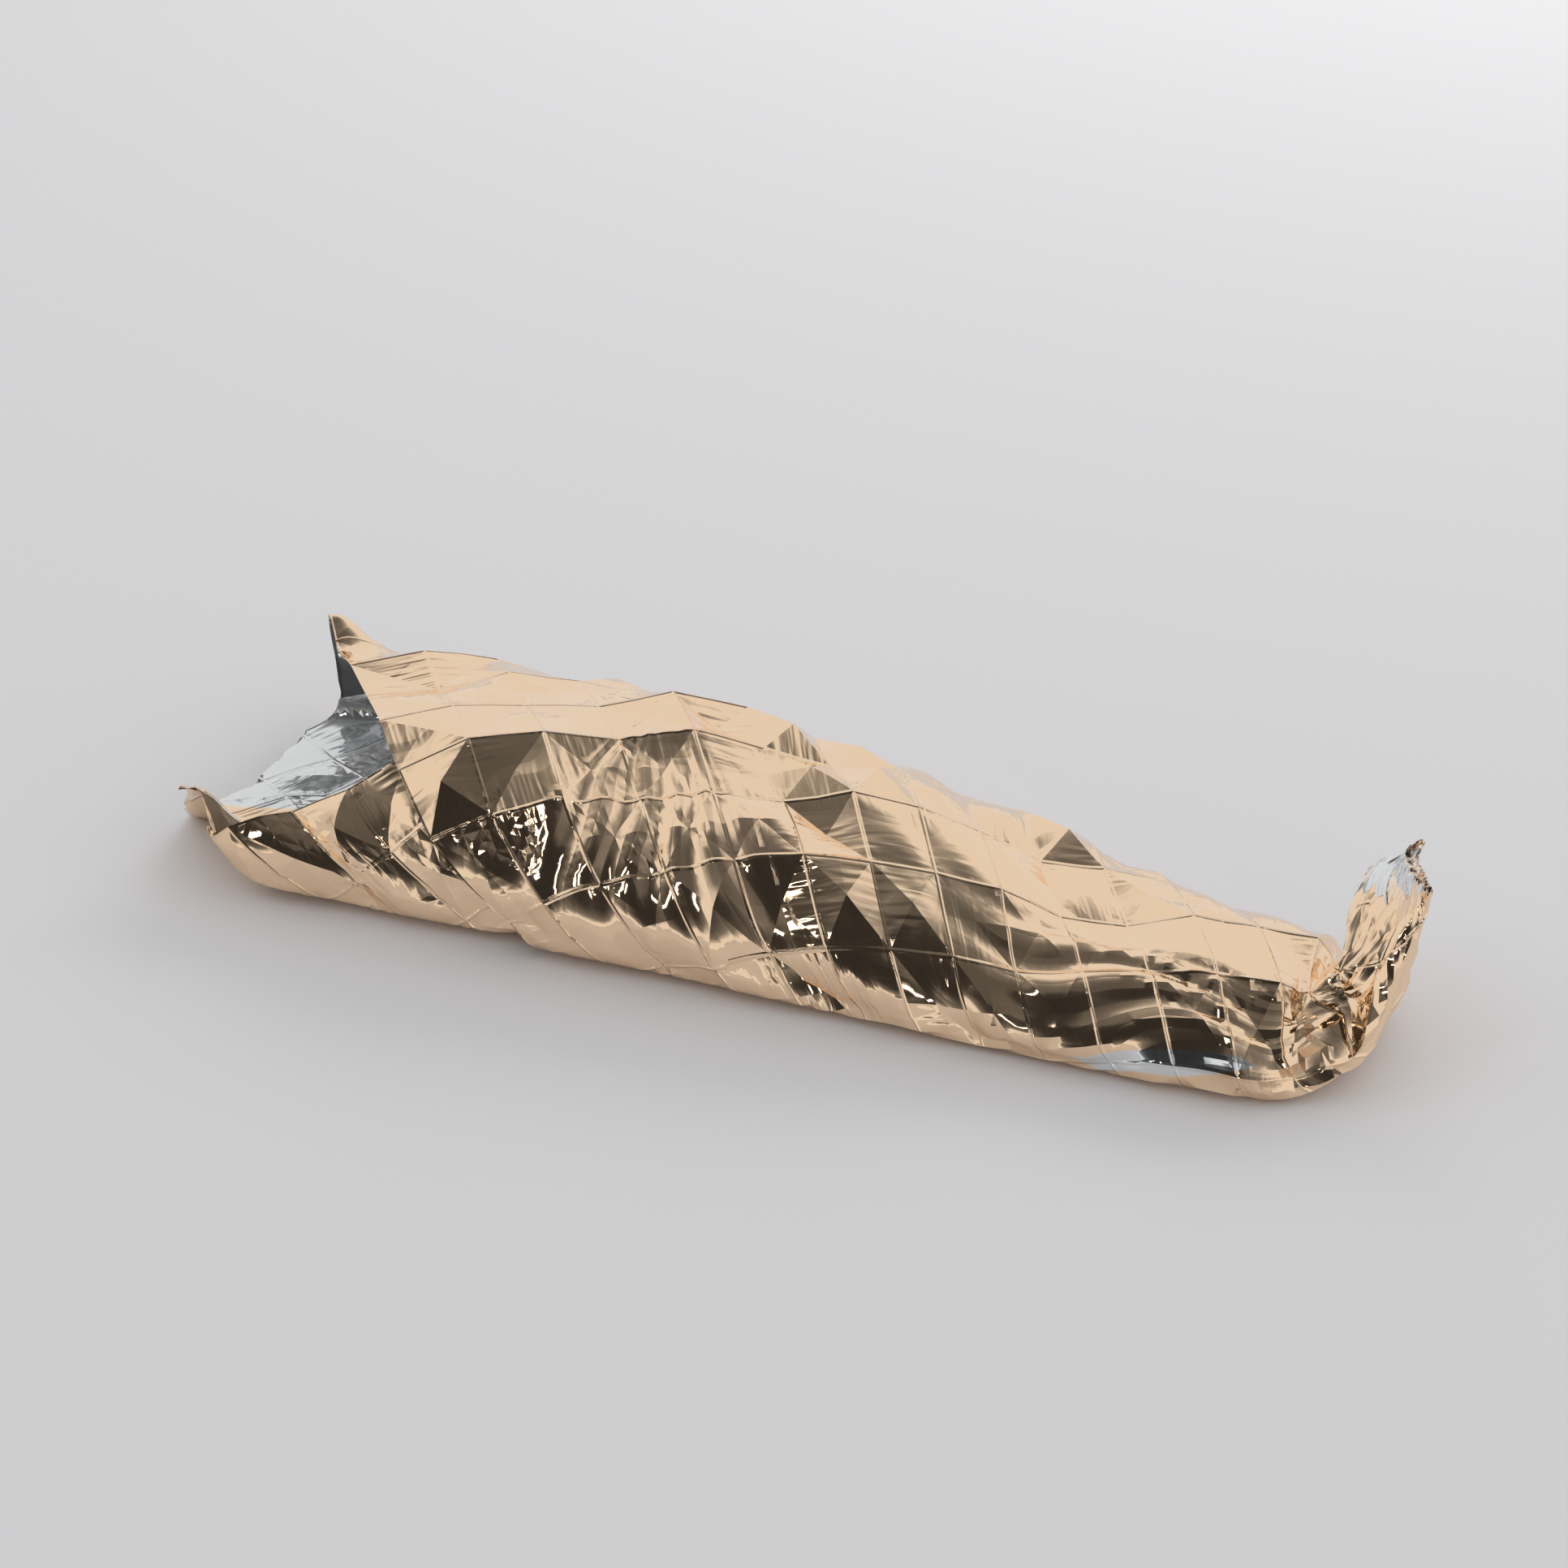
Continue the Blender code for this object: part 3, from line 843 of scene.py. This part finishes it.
def drawn_wrinkles(tree, flat, pleat_height):
    """The heights of the drawn wrinkles, one for each row of STRANDS."""
    patches = node(tree, "ShaderNodeTexNoise", {"Vector": flat, "Scale": PATCHES_PER_METRE, "Detail": 1.0})
    calm = {"Value": pleat_height, "From Min": 0.0, "From Max": PLEAT_CALM, "To Min": 1.0, "To Max": 0.0}
    beside_pleats = node(tree, "ShaderNodeMapRange", calm)
    heights = []
    for per_metre, start, full in STRANDS:
        stretched = node(tree, "ShaderNodeVectorMath", {0: flat, 1: per_metre}, operation="MULTIPLY")
        strands = {"Vector": stretched, "Scale": 1.0, "Detail": 1.0, "Distortion": STRAND_BEND}
        drawn = node(tree, "ShaderNodeTexNoise", strands)
        rise = {"Value": patches, "From Min": start, "From Max": full, "To Min": 0.0, "To Max": STRAND_HEIGHT}
        patch = node(tree, "ShaderNodeMapRange", rise)
        strand = node(tree, "ShaderNodeMath", {0: drawn, 1: patch}, operation="MULTIPLY")
        heights.append(node(tree, "ShaderNodeMath", {0: strand, 1: beside_pleats}, operation="MULTIPLY"))
    return heights


def film_material(name, colour, roughness, mirror, turned_mark, turned_colour):
    """Polyester film with a mirror coat of metal. The eye sees the room in flat facets between pressed
    lines, with slack ripples and drawn wrinkles over them and, where the film was gripped, sharp crumples
    and fine pleats. Where the mark is above zero the film is turned over, and its other face shows."""
    material = bpy.data.materials.new(name)
    material.use_nodes = True
    tree = material.node_tree
    shader = tree.nodes["Principled BSDF"]
    shader.inputs["Metallic"].default_value = mirror
    shader.inputs["Roughness"].default_value = roughness
    shader.inputs["Base Color"].default_value = linear(colour)
    turned = node(tree, "ShaderNodeAttribute", attribute_name=turned_mark).outputs["Fac"]
    side = node(tree, "ShaderNodeMapRange", {"Value": turned, "From Min": -MARK_EDGE, "From Max": MARK_EDGE})
    faces = {MIX_SHARE: side, MIX_FIRST: linear(colour), MIX_SECOND: linear(turned_colour)}
    mixed = node(tree, "ShaderNodeMix", faces, data_type="RGBA")
    tree.links.new(mixed.outputs[MIX_RESULT], shader.inputs["Base Color"])
    flat = node(tree, "ShaderNodeUVMap", uv_map="film").outputs["UV"]
    slack = {"Vector": flat, "Scale": RIPPLES_PER_METRE, "Detail": 1.0, "Distortion": RIPPLE_BEND}
    ripples = node(tree, "ShaderNodeTexNoise", slack)
    pleat_height = node(tree, "ShaderNodeAttribute", attribute_name="pleat_height").outputs["Fac"]
    folds = from_packing_folds(tree, flat)
    total = packing_creases(tree, folds)
    heights = [
        node(tree, "ShaderNodeMath", {0: ripples, 1: RIPPLE_HEIGHT}, operation="MULTIPLY"),
        sharp_crumples(tree, flat, folds),
        fine_pleats(tree, ripples, pleat_height),
        *drawn_wrinkles(tree, flat, pleat_height),
    ]
    for height in heights:
        total = node(tree, "ShaderNodeMath", {0: total, 1: height}, operation="ADD")
    bump = node(tree, "ShaderNodeBump", {"Height": total, "Strength": 1.0, "Distance": 1.0})
    tree.links.new(bump.outputs["Normal"], shader.inputs["Normal"])
    return material


def sharpen_creases(mesh, rows, columns):
    """Marks the edges along the panels' lines and diagonals sharp, so that each facet shades flat."""
    ends = np.empty(len(mesh.edges) * 2, dtype=np.int32)
    mesh.edges.foreach_get("vertices", ends)
    first, second = ends.reshape(-1, 2).T % (rows * columns)
    i0, j0, i1, j1 = first // columns, first % columns, second // columns, second % columns
    on_line = ((i0 == i1) & (i0 % STEPS == 0)) | ((j0 == j1) & (j0 % STEPS == 0))
    panel = np.minimum(i0, i1) // STEPS % PANELS_SHORT, np.minimum(j0, j1) // STEPS % PANELS_LONG
    broken = broken_panels()[panel] > BROKEN_SHARP
    crossed = crossed_panels()[panel] | broken
    half = STEPS // 2
    on_half = ((i0 == i1) & (i0 % STEPS == half)) | ((j0 == j1) & (j0 % STEPS == half))
    on_line = on_line | (on_half & broken)
    falling = ((i0 - i1) * (j0 - j1) > 0) & ((i0 - j0) % STEPS == 0) & crossed
    rising = ((i0 - i1) * (j0 - j1) < 0) & ((i0 + j0) % STEPS == 0) & crossed
    sharp = mesh.attributes["sharp_edge"]
    bends = np.empty(len(mesh.edges), dtype=bool)
    sharp.data.foreach_get("value", bends)
    sharp.data.foreach_set("value", bends | on_line | falling | rising)


def grid_faces(rows, columns, count):
    """Triangles of the gold face, the silver face under it, and the rim between them."""
    i, j = np.meshgrid(np.arange(rows - 1), np.arange(columns - 1), indexing="ij")
    a = (i * columns + j).ravel()
    b, c, d = a + 1, a + columns + 1, a + columns
    rising = (((i % STEPS) < STEPS // 2) == ((j % STEPS) < STEPS // 2)).ravel()[:, None]
    first = np.where(rising, np.stack([c, b, a], axis=1), np.stack([d, b, a], axis=1))
    second = np.where(rising, np.stack([d, c, a], axis=1), np.stack([d, c, b], axis=1))
    outer = np.concatenate([first, second])
    inner = outer[:, ::-1] + count
    number = np.arange(count).reshape(rows, columns)
    rim = np.concatenate([number[0, :-1], number[:-1, -1], number[-1, :0:-1], number[:0:-1, 0]])
    after = np.roll(rim, -1)
    walls = np.concatenate([
        np.stack([rim, after, after + count], axis=1),
        np.stack([rim, after + count, rim + count], axis=1),
    ])
    return outer, inner, walls


def make_film():
    """The film as one closed sheet: gold face outside, silver face inside, and a thin rim."""
    outer, normal, u, v, marks = film_points()
    rows, columns = u.shape
    count = rows * columns
    inner = outer - normal * FILM_GAP
    inner[..., 2] = np.maximum(inner[..., 2], outer[..., 2] - FILM_GAP / 2)
    points = np.concatenate([outer.reshape(-1, 3), inner.reshape(-1, 3)])
    gold, silver, rim = grid_faces(rows, columns, count)
    faces = np.concatenate([gold, silver, rim])
    mesh = bpy.data.meshes.new("foil_blanket")
    mesh.from_pydata(points.tolist(), [], faces.tolist())
    for material in (
        film_material("gold_metallised_film", GOLD, GOLD_ROUGHNESS, GOLD_MIRROR, "turned_over", SILVER),
        film_material("silver_metallised_film", SILVER, SILVER_ROUGHNESS, SILVER_MIRROR, "doubled", GOLD),
    ):
        mesh.materials.append(material)
    mesh.polygons.foreach_set("material_index", np.arange(len(faces)) >= len(gold))
    mesh.shade_smooth()
    mesh.set_sharp_from_angle(angle=math.radians(SHARP_ANGLE))
    sharpen_creases(mesh, rows, columns)
    flat = mesh.uv_layers.new(name="film")
    corner = faces.ravel() % count
    places = np.stack([u.ravel(), v.ravel()], axis=1)[corner]
    flat.data.foreach_set("uv", places.astype(np.float32).ravel())
    for name, values in marks.items():
        mark = mesh.attributes.new(name, "FLOAT", "POINT")
        mark.data.foreach_set("value", np.tile(values.ravel(), 2).astype(np.float32))
    blanket = bpy.data.objects.new("foil_blanket", mesh)
    bpy.context.scene.collection.objects.link(blanket)
    return blanket


# The studio: a pale floor, a bright backdrop all round, and the dark upper part of the room, where the
# lamps hang behind and above the camera. ROOM_STOPS darken it round the direction DARK_ROOM, and
# CEILING_STOPS round straight up: each stop is the cosine of the angle from there, and the grey at it.
BACKDROP = 0.80
DARK_ROOM = (-0.12, -0.60, 0.79)
ROOM_STOPS = ((0.66, 0.80), (0.70, 0.45), (0.74, 0.20), (0.84, 0.09), (0.90, 0.045), (1.0, 0.03))
CEILING_STOPS = ((0.62, 0.80), (0.70, 0.58), (0.76, 0.34), (0.86, 0.18), (1.0, 0.10))

# The floor is matt paint, which gives an even pale ground. It lies FLOOR_DROP under the film.
FLOOR_SIZE = 40.0
FLOOR_DROP = 0.001
FLOOR_COLOUR = "#E4E3E5"
FLOOR_ROUGHNESS = 0.6

# A wide fill light from the ceiling, a little from the near side. The film doesn't mirror it.
FILL_STRENGTH = 1.00
FILL_SPREAD = math.radians(100.0)
FILL_TILT = math.radians(12.0)

# Area lamps, which point at the blanket: name, place, size, watts, and whether the film mirrors them
SOFTBOXES = (
    ("softbox_left", (-2.6, -2.4, 4.2), (0.32, 2.2), 7.0, True),
    ("softbox_right", (1.6, -3.4, 3.4), (0.22, 2.0), 5.0, True),
    ("backdrop_lamp", (0.3, 6.2, 3.2), (6.0, 2.0), 135.0, False),
)

# The camera: its direction from what it looks at, in degrees from the near side and up, its distance and
# aim in metres, and its lens and sensor in millimetres
CAMERA_AZIMUTH = 21.4
CAMERA_ELEVATION = 30.0
CAMERA_DISTANCE = 5.0
CAMERA_AIM = (-0.084, 0.175, 0.06)
CAMERA_LENS = 87.2
CAMERA_SENSOR = 36.0


def grey(value):
    """A linear grey as a colour."""
    return (value, value, value, 1.0)


def backdrop():
    """The bright backdrop and the dark room, as the film mirrors them."""
    world = bpy.data.worlds.new("studio")
    world.use_nodes = True
    bpy.context.scene.world = world
    tree = world.node_tree
    direction = node(tree, "ShaderNodeTexCoord").outputs["Generated"]
    centre = tuple(Vector(DARK_ROOM).normalized())
    towards = node(tree, "ShaderNodeVectorMath", {0: direction, 1: centre}, operation="DOT_PRODUCT")
    up = node(tree, "ShaderNodeSeparateXYZ", {"Vector": direction})
    shades = []
    for source, steps in ((towards.outputs["Value"], ROOM_STOPS), (up.outputs["Z"], CEILING_STOPS)):
        ramp = node(tree, "ShaderNodeValToRGB", {"Fac": source})
        stops = ramp.color_ramp.elements
        stops[0].position = 0.0
        stops[0].color = grey(BACKDROP)
        stops[1].position = steps[-1][0]
        stops[1].color = grey(steps[-1][1])
        for position, value in steps[:-1]:
            stops.new(position).color = grey(value)
        shades.append(ramp.outputs["Color"])
    both = {MIX_SHARE: 1.0, MIX_FIRST: shades[0], MIX_SECOND: shades[1]}
    darker = node(tree, "ShaderNodeMix", both, data_type="RGBA", blend_type="DARKEN")
    background = tree.nodes["Background"]
    tree.links.new(darker.outputs[MIX_RESULT], background.inputs["Color"])
    background.inputs["Strength"].default_value = 1.0


def painted_floor():
    """The pale floor, which is part of the stage and not of the blanket."""
    half = FLOOR_SIZE / 2
    square = [(x * half, y * half, -FLOOR_DROP) for x, y in ((-1, -1), (1, -1), (1, 1), (-1, 1))]
    mesh = bpy.data.meshes.new("studio_floor")
    mesh.from_pydata(square, [], [(0, 1, 2, 3)])
    material = bpy.data.materials.new("painted_floor")
    material.use_nodes = True
    shader = material.node_tree.nodes["Principled BSDF"]
    shader.inputs["Base Color"].default_value = linear(FLOOR_COLOUR)
    shader.inputs["Roughness"].default_value = FLOOR_ROUGHNESS
    mesh.materials.append(material)
    floor = bpy.data.objects.new("studio_floor", mesh)
    bpy.context.scene.collection.objects.link(floor)


def lamps():
    """The fill light and the softboxes."""
    fill = bpy.data.lights.new("ceiling_fill", "SUN")
    fill.angle = FILL_SPREAD
    fill.energy = FILL_STRENGTH
    above = bpy.data.objects.new("ceiling_fill", fill)
    above.rotation_euler = (FILL_TILT, 0.0, 0.0)
    above.visible_glossy = False
    bpy.context.scene.collection.objects.link(above)
    for name, spot, size, watts, mirrored in SOFTBOXES:
        lamp = bpy.data.lights.new(name, "AREA")
        lamp.shape = "RECTANGLE"
        lamp.size, lamp.size_y = size
        lamp.energy = watts
        holder = bpy.data.objects.new(name, lamp)
        holder.location = spot
        holder.rotation_euler = (-Vector(spot)).to_track_quat("-Z", "Y").to_euler()
        holder.visible_glossy = mirrored
        bpy.context.scene.collection.objects.link(holder)


def camera():
    """The camera stands on the near side, towards the foot, and looks down at the blanket."""
    data = bpy.data.cameras.new("camera")
    data.lens = CAMERA_LENS
    data.sensor_width = CAMERA_SENSOR
    holder = bpy.data.objects.new("camera", data)
    azimuth, elevation = math.radians(CAMERA_AZIMUTH), math.radians(CAMERA_ELEVATION)
    level = math.cos(elevation)
    away = Vector((math.sin(azimuth) * level, -math.cos(azimuth) * level, math.sin(elevation)))
    holder.location = Vector(CAMERA_AIM) + away * CAMERA_DISTANCE
    holder.rotation_euler = (-away).to_track_quat("-Z", "Y").to_euler()
    bpy.context.scene.collection.objects.link(holder)
    bpy.context.scene.camera = holder


bpy.context.scene.view_settings.view_transform = "Standard"
backdrop()
painted_floor()
lamps()
camera()
blanket = make_film()
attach(blanket, "root")
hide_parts("foil_film")
